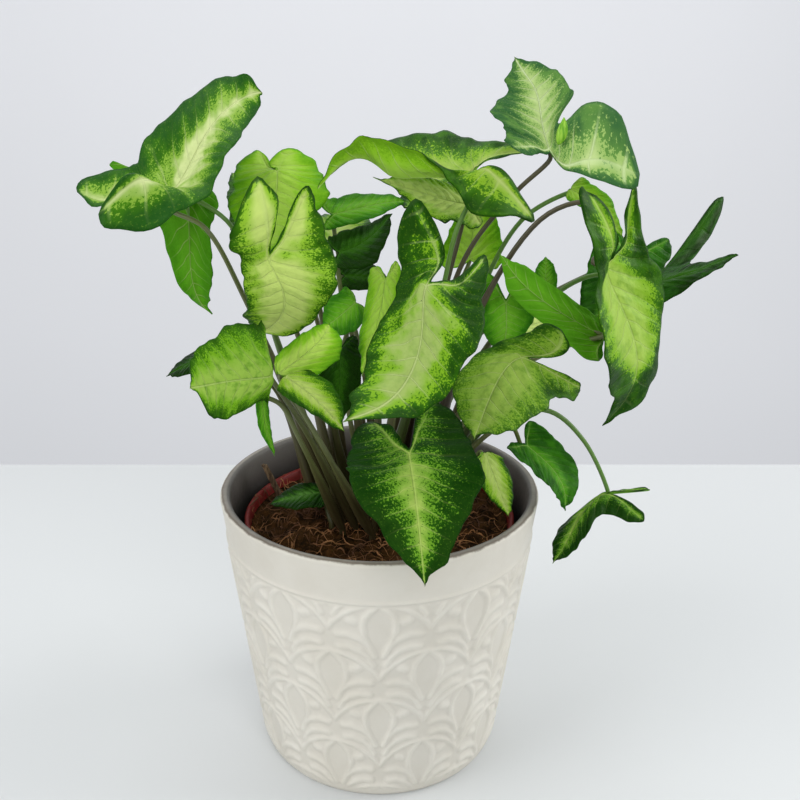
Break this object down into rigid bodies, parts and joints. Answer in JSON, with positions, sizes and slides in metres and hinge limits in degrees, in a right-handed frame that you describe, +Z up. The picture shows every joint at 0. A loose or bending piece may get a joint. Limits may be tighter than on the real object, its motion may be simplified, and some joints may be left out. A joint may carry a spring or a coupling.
{
  "type": "potted arrowhead plant",
  "caption": "Bushy variegated arrowhead plant on slender stalks, in a nursery pot of soil set inside a tapered relief-patterned ceramic pot.",
  "frame": {"origin": "centre of the outer pot's flat underside", "axes": "+Z up along the pot's axis, -Y towards the front of the plant, +X to its right"},
  "size_m": [0.2698, 0.1983, 0.3043],
  "materials": {
    "cream_glaze": "satin off-white glaze with a worn grey rim",
    "red_plastic": "dull brick-red plastic",
    "coir_soil": "loose dark brown coir",
    "dry_stalk": "dry brown stalk",
    "leaf_top_left_green": "soft satin leaf, pale centre and darker speckled margins",
    "leaf_under_left_green": "soft satin leaf, pale centre and darker speckled margins",
    "leaf_twin_lobes_green": "soft satin leaf, pale centre and darker speckled margins",
    "leaf_back_left_green": "soft satin leaf, pale centre and darker speckled margins",
    "leaf_top_centre_green": "soft satin leaf, pale centre and darker speckled margins",
    "leaf_below_centre_green": "soft satin leaf, pale centre and darker speckled margins",
    "leaf_top_right_green": "soft satin leaf, pale centre and darker speckled margins",
    "leaf_right_hang_green": "soft satin leaf, pale centre and darker speckled margins",
    "leaf_right_strip_green": "soft satin leaf, pale centre and darker speckled margins",
    "leaf_far_right_green": "soft satin leaf, pale centre and darker speckled margins",
    "leaf_right_rear_green": "soft satin leaf, pale centre and darker speckled margins",
    "leaf_front_big_green": "soft satin leaf, pale centre and darker speckled margins",
    "leaf_front_low_green": "soft satin leaf, pale centre and darker speckled margins",
    "leaf_right_mid_green": "soft satin leaf, pale centre and darker speckled margins",
    "leaf_left_low_green": "soft satin leaf, pale centre and darker speckled margins",
    "leaf_hanging_strip_green": "soft satin leaf, pale centre and darker speckled margins",
    "leaf_lime_young_green": "soft satin leaf, pale centre and darker speckled margins",
    "leaf_low_speckled_green": "soft satin leaf, pale centre and darker speckled margins",
    "leaf_dark_heart_green": "soft satin leaf, pale centre and darker speckled margins",
    "leaf_upright_fold_green": "soft satin leaf, pale centre and darker speckled margins",
    "leaf_shade_upper_green": "soft satin leaf, pale centre and darker speckled margins",
    "leaf_shade_lower_green": "soft satin leaf, pale centre and darker speckled margins",
    "leaf_inner_left_green": "soft satin leaf, pale centre and darker speckled margins",
    "leaf_back_pointed_green": "soft satin leaf, pale centre and darker speckled margins",
    "leaf_back_lime_green": "soft satin leaf, pale centre and darker speckled margins",
    "leaf_bright_fold_green": "soft satin leaf, pale centre and darker speckled margins",
    "leaf_small_tips_green": "soft satin leaf, pale centre and darker speckled margins",
    "leaf_light_pair_green": "soft satin leaf, pale centre and darker speckled margins",
    "leaf_out_right_green": "soft satin leaf, pale centre and darker speckled margins",
    "leaf_trail_right_green": "soft satin leaf, pale centre and darker speckled margins",
    "leaf_inside_right_green": "soft satin leaf, pale centre and darker speckled margins",
    "leaf_low_dark_green": "soft satin leaf, pale centre and darker speckled margins",
    "leaf_behind_left_green": "soft satin leaf, pale centre and darker speckled margins",
    "leaf_rear_left_green": "soft satin leaf, pale centre and darker speckled margins",
    "leaf_rear_centre_green": "soft satin leaf, pale centre and darker speckled margins",
    "leaf_rear_right_green": "soft satin leaf, pale centre and darker speckled margins",
    "leaf_rear_low_green": "soft satin leaf, pale centre and darker speckled margins"
  },
  "bodies": {
    "root": {"outer_pot": "cream_glaze", "nursery_pot": "red_plastic", "soil": "coir_soil", "dry_stub": "dry_stalk", "leaf_top_left": "leaf_top_left_green", "leaf_under_left": "leaf_under_left_green", "leaf_twin_lobes": "leaf_twin_lobes_green", "leaf_back_left": "leaf_back_left_green", "leaf_top_centre": "leaf_top_centre_green", "leaf_below_centre": "leaf_below_centre_green", "leaf_top_right": "leaf_top_right_green", "leaf_right_hang": "leaf_right_hang_green", "leaf_right_strip": "leaf_right_strip_green", "leaf_far_right": "leaf_far_right_green", "leaf_right_rear": "leaf_right_rear_green", "leaf_front_big": "leaf_front_big_green", "leaf_front_low": "leaf_front_low_green", "leaf_right_mid": "leaf_right_mid_green", "leaf_left_low": "leaf_left_low_green", "leaf_hanging_strip": "leaf_hanging_strip_green", "leaf_lime_young": "leaf_lime_young_green", "leaf_low_speckled": "leaf_low_speckled_green", "leaf_dark_heart": "leaf_dark_heart_green", "leaf_upright_fold": "leaf_upright_fold_green", "leaf_shade_upper": "leaf_shade_upper_green", "leaf_shade_lower": "leaf_shade_lower_green", "leaf_inner_left": "leaf_inner_left_green", "leaf_back_pointed": "leaf_back_pointed_green", "leaf_back_lime": "leaf_back_lime_green", "leaf_bright_fold": "leaf_bright_fold_green", "leaf_small_tips": "leaf_small_tips_green", "leaf_light_pair": "leaf_light_pair_green", "leaf_out_right": "leaf_out_right_green", "leaf_trail_right": "leaf_trail_right_green", "leaf_inside_right": "leaf_inside_right_green", "leaf_low_dark": "leaf_low_dark_green", "leaf_behind_left": "leaf_behind_left_green", "leaf_rear_left": "leaf_rear_left_green", "leaf_rear_centre": "leaf_rear_centre_green", "leaf_rear_right": "leaf_rear_right_green", "leaf_rear_low": "leaf_rear_low_green"}
  },
  "joints": []
}
